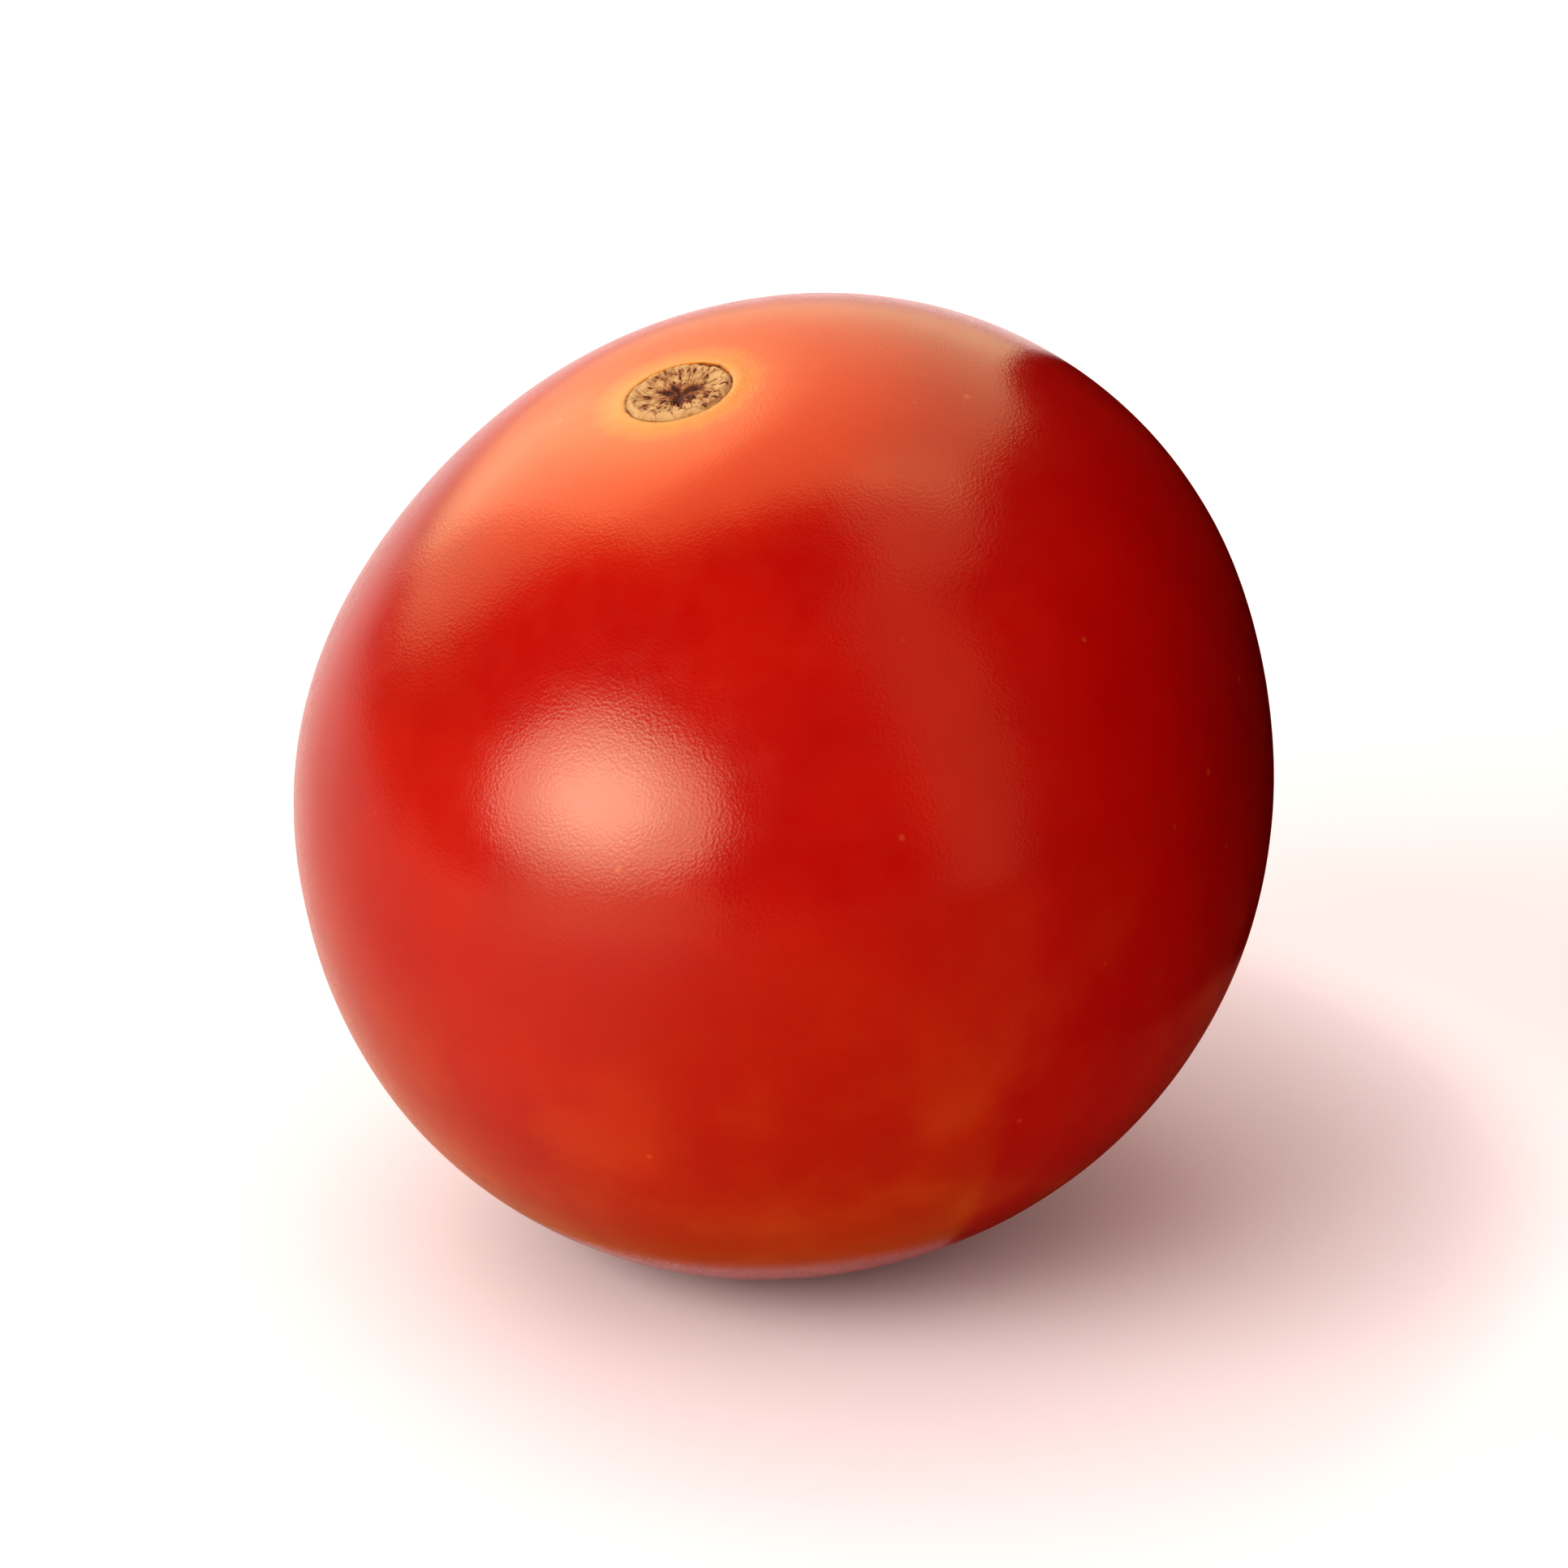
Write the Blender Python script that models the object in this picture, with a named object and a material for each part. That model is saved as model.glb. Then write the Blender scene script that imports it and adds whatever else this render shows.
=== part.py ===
"""A cherry tomato as picked, resting on a flat surface with its stem scar uppermost.

The fruit grew as one piece, so it is one solid. It is drawn about its own axis, stem
end up: half of its outline is spun into a round body, the body is swelled into soft
lobes, and the whole is then leaned over and flattened where it rests.

Units are metres and +Z is up. The origin is on the surface, under the middle of the
fruit's bounding box.
"""

from math import asin, atan2, cos, exp, hypot, pi, radians, sin

import bmesh
import bpy
from mathutils import Matrix, Vector

# The body, about its own axis
EQUATOR_RADIUS = 0.0163
STEM_HEIGHT = 0.01475  # from the widest level up to the stem end, before the basin
BLOSSOM_HEIGHT = 0.01605  # from the widest level down to the blossom end
FULLNESS = 2.15  # 2 is an ellipse; more fills out the shoulders

# The basin that the stem scar sits in
BASIN_DEPTH = 0.00055
BASIN_RADIUS = 0.0046

# The corky scar where the stem broke off
SCAR_RADIUS = 0.00175
SCAR_SINK = 0.00022  # how far its middle lies below its rim's foot
RIM_HEIGHT = 0.00010
RIM_WIDTH = 0.00022

# The dry tip that the flower left at the other end
TIP_RADIUS = 0.0005
TIP_HEIGHT = 0.00012

# Lobes: how many go round the fruit, how far they stand out, and where the first one is
LOBES = (
    (2, 0.00035, radians(62)),
    (3, 0.00011, radians(44)),
    (5, 0.00005, radians(10)),
)
SHOULDER_DROP = 0.0019  # how much lower the shoulder is on its low side
SHOULDER_SIDE = radians(208)  # the direction of the low side, from +X
SHOULDER_POLAR = radians(37)  # how far down from the stem end the shoulder is
SHOULDER_SPREAD = radians(36.5)

# How it rests
LEAN = radians(12.8)  # the stem end leans towards -X
NOD = radians(3.8)  # and towards -Y
REST_SAG = 0.00025  # how far the skin is pressed flat where it rests

# Facets
AROUND_STEPS = 64
SCAR_RINGS = 8
BODY_RINGS = 44
TIP_RINGS = 3
WELD = 1e-6
REST_WELD = 0.00015  # corners of the flat closer than this become one


def bell(offset, spread):
    """A smooth hump, 1 at no offset and about 0 past two spreads."""
    return exp(-((offset / spread) ** 2))


def body_reach(polar):
    """How far the plain body reaches from its centre, at an angle from the stem end."""
    half_height = STEM_HEIGHT if cos(polar) > 0 else BLOSSOM_HEIGHT
    across = abs(sin(polar)) / EQUATOR_RADIUS
    along = abs(cos(polar)) / half_height
    return (across**FULLNESS + along**FULLNESS) ** (-1 / FULLNESS)


def end_relief(polar, distance):
    """How far the skin stands above the plain body near its two ends, along the axis."""
    if cos(polar) > 0:
        basin = -BASIN_DEPTH * bell(distance, BASIN_RADIUS)
        scar = -SCAR_SINK * bell(distance, SCAR_RADIUS / 2)
        rim = RIM_HEIGHT * bell(distance - SCAR_RADIUS, RIM_WIDTH)
        return basin + scar + rim
    return -TIP_HEIGHT * bell(distance, TIP_RADIUS)


def outline_point(polar):
    """The point of the half outline at an angle from the stem end, in the XZ plane."""
    reach = body_reach(polar)
    distance = reach * sin(polar)
    return Vector((distance, 0, reach * cos(polar) + end_relief(polar, distance)))


def ring_angles():
    """Angles from the stem end of the outline's points, closer together at both ends."""
    scar_edge = asin((SCAR_RADIUS + 2 * RIM_WIDTH) / STEM_HEIGHT)
    tip_edge = pi - asin(2 * TIP_RADIUS / BLOSSOM_HEIGHT)
    angles = [scar_edge * ring / SCAR_RINGS for ring in range(SCAR_RINGS)]
    angles += [
        scar_edge + (tip_edge - scar_edge) * ring / BODY_RINGS
        for ring in range(BODY_RINGS)
    ]
    angles += [
        tip_edge + (pi - tip_edge) * ring / TIP_RINGS for ring in range(TIP_RINGS)
    ]
    return angles


def spin_outline(mesh):
    """Spins the half outline into a closed round body."""
    ends = [Vector((0, 0, outline_point(0).z)), Vector((0, 0, outline_point(pi).z))]
    points = [ends[0], *map(outline_point, ring_angles()[1:]), ends[1]]
    corners = [mesh.verts.new(point) for point in points]
    edges = [mesh.edges.new(pair) for pair in zip(corners, corners[1:])]
    bmesh.ops.spin(
        mesh,
        geom=corners + edges,
        axis=(0, 0, 1),
        cent=(0, 0, 0),
        angle=2 * pi,
        steps=AROUND_STEPS,
        use_merge=True,
    )
    bmesh.ops.remove_doubles(mesh, verts=mesh.verts, dist=WELD)


def swell(point):
    """The point moved outwards or inwards by the lobes and the low shoulder."""
    sideways = hypot(point.x, point.y) / point.length
    around = atan2(point.y, point.x)
    polar = point.angle(Vector((0, 0, 1)))
    out = 0
    for count, height, start in LOBES:
        out += height * sideways**count * cos(count * (around - start))
    low_side = (1 + cos(around - SHOULDER_SIDE)) / 2
    shoulder = bell(polar - SHOULDER_POLAR, SHOULDER_SPREAD) * sideways
    out -= SHOULDER_DROP * low_side * shoulder
    return point * (1 + out / point.length)


def lean_and_flatten(mesh):
    """Leans the fruit, cuts it off flat where it rests, and centres it on the origin."""
    mesh.transform(Matrix.Rotation(NOD, 4, "X") @ Matrix.Rotation(-LEAN, 4, "Y"))
    lowest = min(vert.co.z for vert in mesh.verts)
    cut = bmesh.ops.bisect_plane(
        mesh,
        geom=[*mesh.verts, *mesh.edges, *mesh.faces],
        dist=WELD,
        plane_co=(0, 0, lowest + REST_SAG),
        plane_no=(0, 0, -1),
        clear_outer=True,
    )
    corners = [part for part in cut["geom_cut"] if isinstance(part, bmesh.types.BMVert)]
    bmesh.ops.remove_doubles(mesh, verts=corners, dist=REST_WELD)
    bmesh.ops.holes_fill(mesh, edges=mesh.edges)
    low = [min(vert.co[axis] for vert in mesh.verts) for axis in range(3)]
    high = [max(vert.co[axis] for vert in mesh.verts) for axis in range(3)]
    middle = (Vector(low) + Vector(high)) / 2
    mesh.transform(Matrix.Translation((-middle.x, -middle.y, -low[2])))


def skin_material():
    """Ripe red skin with its natural wax shine."""
    material = bpy.data.materials.new("ripe_skin")
    material.use_nodes = True
    shader = material.node_tree.nodes["Principled BSDF"]
    shader.inputs["Base Color"].default_value = (0.50, 0.015, 0.005, 1)
    shader.inputs["Roughness"].default_value = 0.3
    shader.inputs["Metallic"].default_value = 0
    return material


def make_tomato():
    """The whole fruit as one object."""
    mesh = bmesh.new()
    spin_outline(mesh)
    for vert in mesh.verts:
        vert.co = swell(vert.co)
    lean_and_flatten(mesh)
    bmesh.ops.recalc_face_normals(mesh, faces=mesh.faces)
    data = bpy.data.meshes.new("cherry_tomato")
    mesh.to_mesh(data)
    mesh.free()
    data.shade_smooth()
    data.set_sharp_from_angle(angle=radians(40))
    data.materials.append(skin_material())
    tomato = bpy.data.objects.new("cherry_tomato", data)
    bpy.context.scene.collection.objects.link(tomato)
    return tomato


def main():
    """Clears the scene and builds the fruit."""
    for old in list(bpy.data.objects):
        bpy.data.objects.remove(old)
    make_tomato()


main()
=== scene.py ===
"""A ripe cherry tomato at rest on a pale studio floor.

The fruit grew as one piece and is packed as one solid. Here it is shown as three fitted
surfaces: the skin, the cork scar where the stem broke off, and the dry tip that the flower
left. Sizes are in metres and +Z is up. A piece is grown about the fruit's own axis, stem
end up, and then leaned over and set on its rest spot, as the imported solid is.
"""

from __future__ import annotations

import logging
from dataclasses import dataclass, field, fields
from enum import Enum
from math import cos, exp, pi, radians, sin
from typing import Any

import bpy
from mathutils import Euler, Matrix, Vector


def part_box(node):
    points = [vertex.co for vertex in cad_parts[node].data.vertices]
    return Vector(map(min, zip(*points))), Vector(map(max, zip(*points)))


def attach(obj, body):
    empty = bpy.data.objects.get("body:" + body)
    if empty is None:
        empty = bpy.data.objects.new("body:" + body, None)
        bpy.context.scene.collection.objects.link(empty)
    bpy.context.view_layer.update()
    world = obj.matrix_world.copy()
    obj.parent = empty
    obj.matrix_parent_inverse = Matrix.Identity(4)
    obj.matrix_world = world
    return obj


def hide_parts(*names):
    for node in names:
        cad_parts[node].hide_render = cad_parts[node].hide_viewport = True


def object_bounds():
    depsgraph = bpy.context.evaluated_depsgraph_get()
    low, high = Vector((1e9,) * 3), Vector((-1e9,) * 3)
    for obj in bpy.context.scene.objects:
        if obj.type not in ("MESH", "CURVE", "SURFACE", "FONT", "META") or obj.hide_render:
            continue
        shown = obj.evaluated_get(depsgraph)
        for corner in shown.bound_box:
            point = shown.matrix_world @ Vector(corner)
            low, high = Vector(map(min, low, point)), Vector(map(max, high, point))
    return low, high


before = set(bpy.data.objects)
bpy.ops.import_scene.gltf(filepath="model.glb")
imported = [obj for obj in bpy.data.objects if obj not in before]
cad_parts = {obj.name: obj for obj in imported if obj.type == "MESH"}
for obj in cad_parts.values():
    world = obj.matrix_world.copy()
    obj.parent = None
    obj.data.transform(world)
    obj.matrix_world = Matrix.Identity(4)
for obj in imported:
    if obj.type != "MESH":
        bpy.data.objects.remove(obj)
CAD_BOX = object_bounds()

NODE = "cherry_tomato"
SKIN_SLOT = "tomato_skin"
CORK_SLOT = "scar_cork"
FLOOR_COLOUR = "E8E7E5"

# Attributes that the trees leave on the meshes
GROWN = "grown"  # a point's place about the fruit's own axis, stem end up
CORK_DARKNESS = "crack"  # how dark a point of the cork is, from its cracks, its stains, the star and a painted shade along its edge
REACH = "reach"  # how far a point of the cork is from its middle, 0 to 1
TONE = "tone"  # how much darker or paler than its place a cork flake is
SHADE = "shade"  # a studio card's colour, painted shade of the floor on the cards that lie on it

# Kinds of node, and settings, that are used often
MATH = "ShaderNodeMath"
VECTOR = "ShaderNodeVectorMath"
SPLIT = "ShaderNodeSeparateXYZ"
JOIN = "ShaderNodeCombineXYZ"
RANGE = "ShaderNodeMapRange"
NOISE = "ShaderNodeTexNoise"
MIX = "ShaderNodeMix"
RAMP = "ShaderNodeValToRGB"
BUMP = "ShaderNodeBump"
RANDOM = "FunctionNodeRandomValue"
PLACE = "GeometryNodeInputPosition"
MOVE = "GeometryNodeSetPosition"
STORE = "GeometryNodeStoreNamedAttribute"
GROUP = "GeometryNodeGroup"
SOFT = {"interpolation_type": "SMOOTHSTEP"}
COLOURS = {"out": 2, "data_type": "RGBA"}

Tree = bpy.types.NodeTree
Socket = bpy.types.NodeSocket

log = logging.getLogger("cherry_tomato")


def linear(code: str) -> tuple[float, float, float, float]:
    """Turns an sRGB hex colour into linear red, green, blue and alpha.

    Args:
        code: Six hex digits, two for each of red, green and blue.

    Returns:
        The colour as a shader socket takes it, fully opaque.
    """
    shares = [int(code[at : at + 2], 16) / 255 for at in (0, 2, 4)]
    red, green, blue = (
        share / 12.92 if share <= 0.04045 else ((share + 0.055) / 1.055) ** 2.4
        for share in shares
    )
    return red, green, blue, 1.0


def add(
    tree: Tree,
    kind: str,
    inputs: dict[int | str, Any] | None = None,
    out: int | str = 0,
    **settings: Any,
) -> Socket:
    """Adds a node with its settings and its inputs' values or links.

    Args:
        tree: The node tree that the node goes into.
        kind: The node's type.
        inputs: An output socket to link, or a plain value, for each input by name or place.
        out: Which output to return, by name or place.
        settings: The node's own properties.

    Returns:
        The chosen output, or the node's first input where it has no output.
    """
    node = tree.nodes.new(kind)
    for name, value in settings.items():
        setattr(node, name, value)
    for key, value in (inputs or {}).items():
        if isinstance(value, Socket):
            tree.links.new(value, node.inputs[key])
        else:
            node.inputs[key].default_value = value
    return node.outputs[out] if len(node.outputs) else node.inputs[0]


def ramp(socket: Socket, stops: dict[float, str]) -> Socket:
    """Sets the stops of the colour ramp that an output belongs to.

    Args:
        socket: The ramp's colour output.
        stops: An sRGB hex colour for each place from 0 to 1.

    Returns:
        The same output.
    """
    elements = socket.node.color_ramp.elements
    while len(elements) < len(stops):
        elements.new(1.0)
    for element, (place, code) in zip(elements, sorted(stops.items())):
        element.position = place
        element.color = linear(code)
    return socket


def new_object(name: str, data: Any) -> bpy.types.Object:
    """Puts a new object into the scene.

    Args:
        name: Its name.
        data: Its mesh, light or camera.

    Returns:
        The object.
    """
    made = bpy.data.objects.new(name, data)
    bpy.context.scene.collection.objects.link(made)
    return made


def new_material(name: str, values: dict[str, Any]) -> tuple[bpy.types.Material, Tree, Any]:
    """Starts a material.

    Args:
        name: Its name.
        values: What is the same all over the surface, by the shader's input.

    Returns:
        The material, its tree and its shader's inputs.
    """
    material = bpy.data.materials.new(name)
    material.use_nodes = True
    sockets = material.node_tree.nodes["Principled BSDF"].inputs
    for key, value in values.items():
        sockets[key].default_value = value
    return material, material.node_tree, sockets


def new_tree(name: str, sizes: dict[str, Any], result: str = "Geometry") -> tuple[Tree, Any]:
    """Starts a Geometry Nodes tree with a named input for each size and one output.

    Args:
        name: The tree's name.
        sizes: Each input's name and value: a float, an int or a material.
        result: What it gives back: Geometry or Float.

    Returns:
        The tree and the outputs of its Group Input node.
    """
    tree = bpy.data.node_groups.new(name, "GeometryNodeTree")
    kinds = {float: "Float", int: "Int"}
    for size, value in sizes.items():
        kind = "NodeSocket" + kinds.get(type(value), "Material")
        tree.interface.new_socket(size, in_out="INPUT", socket_type=kind)
    tree.interface.new_socket("Result", in_out="OUTPUT", socket_type="NodeSocket" + result)
    return tree, tree.nodes.new("NodeGroupInput").outputs


def named_sizes(piece: Any) -> dict[str, Any]:
    """Names a piece's sizes as its tree's inputs, and makes its finish.

    Args:
        piece: The dataclass that holds them. Its rim_height becomes "Rim Height".

    Returns:
        The value of each named input.
    """
    named = {item.name.replace("_", " ").title(): getattr(piece, item.name) for item in fields(piece)}
    sizes = {name: value for name, value in named.items() if isinstance(value, (float, int))}
    return {**sizes, "Finish": piece.finish.make()}


def grow(name: str, tree: Tree, sizes: dict[str, Any]) -> bpy.types.Object:
    """Runs a Geometry Nodes tree and keeps its result as a plain mesh.

    Args:
        name: The new piece's name.
        tree: The tree to run.
        sizes: The value of each named input.

    Returns:
        The piece, with no modifier left on it.
    """
    piece = new_object(name, bpy.data.meshes.new(name + "_seed"))
    modifier = piece.modifiers.new("grow", "NODES")
    modifier.node_group = tree
    for socket in tree.interface.items_tree:
        if socket.in_out == "INPUT":
            modifier[socket.identifier] = sizes[socket.name]
    graph = bpy.context.evaluated_depsgraph_get()
    mesh = bpy.data.meshes.new_from_object(
        piece.evaluated_get(graph), preserve_all_data_layers=True, depsgraph=graph
    )
    mesh.name = name
    piece.modifiers.remove(modifier)
    piece.data = mesh
    return piece


def bell_group() -> Tree:
    """Makes a small tree for a smooth hump, 1 at no offset and about 0 past two spreads.

    Returns:
        The tree.
    """
    tree, given = new_tree("bell", {"Offset": 0.0, "Spread": 0.0}, "Float")
    share = add(tree, MATH, {0: given["Offset"], 1: given["Spread"]}, operation="DIVIDE")
    square = add(tree, MATH, {0: share, 1: share}, operation="MULTIPLY")
    fall = add(tree, MATH, {0: square, 1: -1.0}, operation="MULTIPLY")
    add(tree, "NodeGroupOutput", {0: add(tree, MATH, {0: fall}, operation="EXPONENT")})
    return tree


def lobe_group() -> Tree:
    """Makes a small tree for how far the skin stands out where lobes go round the fruit.

    Returns:
        The tree.
    """
    names = ("Around", "Sideways", "Count", "Height", "Start")
    tree, given = new_tree("lobe", dict.fromkeys(names, 0.0), "Float")
    turn = add(tree, MATH, {0: given["Around"], 1: given["Start"]}, operation="SUBTRACT")
    turns = add(tree, MATH, {0: turn, 1: given["Count"]}, operation="MULTIPLY")
    wave = add(tree, MATH, {0: turns}, operation="COSINE")
    fade = add(tree, MATH, {0: given["Sideways"], 1: given["Count"]}, operation="POWER")
    tall = add(tree, MATH, {0: fade, 1: given["Height"]}, operation="MULTIPLY")
    add(tree, "NodeGroupOutput", {0: add(tree, MATH, {0: wave, 1: tall}, operation="MULTIPLY")})
    return tree


# --------------------------------------------------------------------------- finishes


@dataclass(frozen=True)
class RipeSkin:
    """Ripe tomato skin: a clear waxed cuticle over red flesh, smooth as it grew.

    The eye gets a deep even red with soft wide highlights, a golden halo where the stem
    was, faint paler patches, fine gold flecks and a painted shade round the scar's seat.
    """

    deep: str = "960100"  # the ripe red
    warm: str = "9D0B02"  # its paler patches
    amber: str = "AA3A0F"  # clouds on the blossom half
    flame: str = "AE2406"  # the halo, from its outer part inwards
    orange: str = "B63C10"
    gold: str = "B46C1E"
    seat: str = "5E3014"  # painted shade in the gap under the cork's edge
    fleck: str = "EE9A48"
    halo_start: float = 0.00174  # from the stem axis to where the gold begins to turn
    halo_end: float = 0.0098
    halo_fade: float = 0.6  # how far along the halo the plain red begins to take over
    halo_stray: tuple[float, float] = (1.05, 0.96)  # how the streaks pull it in and out
    streak: float = 5.0  # pale streaks in a quarter turn, running down from the stem
    patch: float = 0.007  # width of the colour's soft patches
    cloud: float = 0.0045  # width of the amber clouds on the blossom half
    cloud_share: float = 0.5
    cloud_top: float = 0.002  # the level under which they come in
    cloud_full: float = -0.007
    fleck_gap: float = 0.0013
    fleck_size: float = 0.0001
    fleck_clear: float = 0.6  # share of the gaps that have no full fleck
    fleck_least: float = -0.03
    fleck_edge: tuple[float, float] = (-0.07, 0.04)  # where a fleck fades, in gaps
    fleck_share: float = 0.1
    cell: float = 0.00011  # skin cells are 0.03 mm wide, drawn coarser so that they show
    cell_height: float = 0.000004
    ripple: float = 0.0009
    ripple_height: float = 0.000003
    ior: float = 1.5
    tint: str = "FFF7C4"  # the cuticle is faintly yellow
    roughness: float = 0.21
    roughness_swing: float = 0.03
    flesh_share: float = 0.45  # light that goes through the skin and comes back
    flesh_reach: tuple[float, float, float] = (1.0, 0.12, 0.05)  # red goes deepest
    flesh_depth: float = 0.004

    def ripening(self, tree: Tree, place: Socket) -> Socket:
        """Colours the flesh: red patches, amber clouds low down, the golden halo and a painted shade
        ring in the scar's seat.

        Args:
            tree: The material's tree.
            place: A point's place about the fruit's own axis.

        Returns:
            The colour.
        """
        patches = add(
            tree, NOISE, {"Vector": place, "Scale": 1 / self.patch, "Detail": 3.0, "Roughness": 0.55}
        )
        red = ramp(add(tree, RAMP, {0: patches}), {0.44: self.deep, 0.66: self.warm})

        height = add(tree, SPLIT, {0: place}, out="Z")
        clouds = add(
            tree, NOISE, {"Vector": place, "Scale": 1 / self.cloud, "Detail": 4.0, "Roughness": 0.5}
        )
        clouds = add(tree, RANGE, {0: clouds, 1: 0.42, 2: 0.72, 3: 0.0, 4: self.cloud_share}, **SOFT)
        lower = add(tree, RANGE, {0: height, 1: self.cloud_top, 2: self.cloud_full, 3: 0.0, 4: 1.0})
        clouds = add(tree, MATH, {0: clouds, 1: lower}, operation="MULTIPLY")
        red = add(tree, MIX, {"Factor": clouds, 6: red, 7: linear(self.amber)}, **COLOURS)

        flat = add(tree, VECTOR, {0: place, 1: (1, 1, 0)}, operation="MULTIPLY")
        distance = add(tree, VECTOR, {0: flat}, out="Value", operation="LENGTH")
        heading = add(tree, VECTOR, {0: flat}, operation="NORMALIZE")
        streaks = add(
            tree, NOISE, {"Vector": heading, "Scale": self.streak, "Detail": 4.0, "Roughness": 0.6}
        )
        pull, push = self.halo_stray
        uneven = add(tree, RANGE, {0: streaks, 1: 0.3, 2: 0.7, 3: pull, 4: push})
        reach = add(tree, MATH, {0: distance, 1: uneven}, operation="MULTIPLY")
        halo = add(tree, RANGE, {0: reach, 1: self.halo_start, 2: self.halo_end, 3: 0.0, 4: 1.0})
        # The ramp's first stop is painted shade: a dark ring in the seat, where the cork's edge shades
        # it.
        golden = ramp(
            add(tree, RAMP, {0: halo}),
            {
                0.0: self.seat,
                0.014: self.gold,
                0.04: self.gold,
                0.16: self.orange,
                0.40: self.flame,
                1.0: self.deep,
            },
        )
        fade = add(tree, RANGE, {0: halo, 1: self.halo_fade, 2: 1.0, 3: 1.0, 4: 0.0}, **SOFT)
        stem_end = add(tree, MATH, {0: height, 1: 0.0}, operation="GREATER_THAN")
        share = add(tree, MATH, {0: fade, 1: stem_end}, operation="MULTIPLY")
        return add(tree, MIX, {"Factor": share, 6: red, 7: golden}, **COLOURS)

    def flecked(self, tree: Tree, place: Socket, colour: Socket) -> Socket:
        """Scatters fine gold flecks over a colour.

        Args:
            tree: The material's tree.
            place: A point's place about the fruit's own axis.
            colour: The colour under them.

        Returns:
            The colour with its flecks.
        """
        spots = add(tree, "ShaderNodeTexVoronoi", {"Vector": place, "Scale": 1 / self.fleck_gap})
        spots = spots.node.outputs
        pick = add(tree, "ShaderNodeSeparateColor", {0: spots["Color"]}, out="Red")
        most = self.fleck_size / self.fleck_gap
        size = add(tree, RANGE, {0: pick, 1: self.fleck_clear, 2: 1.0, 3: self.fleck_least, 4: most})
        inside = add(tree, MATH, {0: size, 1: spots["Distance"]}, operation="SUBTRACT")
        outer, inner = self.fleck_edge
        dot = add(tree, RANGE, {0: inside, 1: outer, 2: inner, 3: 0.0, 4: self.fleck_share}, **SOFT)
        return add(tree, MIX, {"Factor": dot, 6: colour, 7: linear(self.fleck)}, **COLOURS)

    def make(self) -> bpy.types.Material:
        """Builds the material.

        Returns:
            The material.
        """
        material, tree, shader = new_material(
            "ripe_tomato_skin",
            {
                "IOR": self.ior,
                "Specular Tint": linear(self.tint),
                "Subsurface Weight": self.flesh_share,
                "Subsurface Radius": self.flesh_reach,
                "Subsurface Scale": self.flesh_depth,
            },
        )
        place = add(tree, "ShaderNodeAttribute", out="Vector", attribute_name=GROWN)
        colour = self.flecked(tree, place, self.ripening(tree, place))
        tree.links.new(colour, shader["Base Color"])

        wax = add(
            tree, NOISE, {"Vector": place, "Scale": 1 / self.ripple, "Detail": 5.0, "Roughness": 0.65}
        )
        low = self.roughness - self.roughness_swing
        high = self.roughness + self.roughness_swing
        rough = add(tree, RANGE, {0: wax, 1: 0.3, 2: 0.7, 3: low, 4: high})
        tree.links.new(rough, shader["Roughness"])

        cells = {"Vector": place, "Scale": 1 / self.cell}
        cells = add(tree, "ShaderNodeTexVoronoi", cells, out="Distance")
        ripples = {"Height": wax, "Strength": 1.0, "Distance": self.ripple_height}
        grain = {"Height": cells, "Strength": 1.0, "Distance": self.cell_height}
        normal = add(tree, BUMP, {**grain, "Normal": add(tree, BUMP, ripples)})
        tree.links.new(normal, shader["Normal"])
        return material


@dataclass(frozen=True)
class DryCork:
    """Corky scar tissue: dead, matt and cracked, as the stem's break dried in the air.

    The eye gets pale beige islands with a green-grey cast between dark brown cracks, and a painted
    shade along the edge.
    """

    name: str = "dry_scar_cork"
    pale: str = "B49460"
    straw: str = "9A7446"
    brown: str = "744020"
    dark: str = "3A1608"
    grain: float = 0.00009  # cork cells are 0.02 to 0.04 mm wide, drawn coarser
    grain_height: float = 0.000012
    island: float = 0.00036  # width of the islands that share a shade
    roughness: float = 0.82
    shine: float = 0.25  # air in the cells takes most of the shine away

    def make(self) -> bpy.types.Material:
        """Builds the material.

        Returns:
            The material.
        """
        material, tree, shader = new_material(
            self.name, {"Roughness": self.roughness, "Specular IOR Level": self.shine}
        )
        place = add(tree, "ShaderNodeTexCoord", out="Object")
        grain = add(
            tree, NOISE, {"Vector": place, "Scale": 1 / self.grain, "Detail": 4.0, "Roughness": 0.7}
        )
        islands = add(tree, NOISE, {"Vector": place, "Scale": 1 / self.island, "Detail": 2.0})
        mixed = add(tree, MATH, {0: grain, 1: islands}, operation="ADD")
        depth = add(tree, RANGE, {0: mixed, 1: 0.75, 2: 1.25, 3: -0.18, 4: 0.22})
        for name in (TONE, CORK_DARKNESS):
            own = add(tree, "ShaderNodeAttribute", out="Fac", attribute_name=name)
            depth = add(tree, MATH, {0: depth, 1: own}, operation="ADD")
        colour = ramp(
            add(tree, RAMP, {0: depth}),
            {0.0: self.pale, 0.30: self.straw, 0.62: self.brown, 1.0: self.dark},
        )
        bumps = add(tree, BUMP, {"Height": grain, "Strength": 1.0, "Distance": self.grain_height})
        tree.links.new(colour, shader["Base Color"])
        tree.links.new(bumps, shader["Normal"])
        return material


@dataclass(frozen=True)
class StudioPaper:
    """Seamless background paper: uncoated pulp, rolled smooth.

    The eye gets an even pale ground, with hardly any shine under the fruit.
    """

    name: str = "pale_paper_floor"
    roughness: float = 0.65
    shine: float = 0.15

    def make(self) -> bpy.types.Material:
        """Builds the material.

        Returns:
            The material.
        """
        values = {"Roughness": self.roughness, "Specular IOR Level": self.shine}
        material, _, shader = new_material(self.name, values)
        shader["Base Color"].default_value = linear(FLOOR_COLOUR)
        return material


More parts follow.
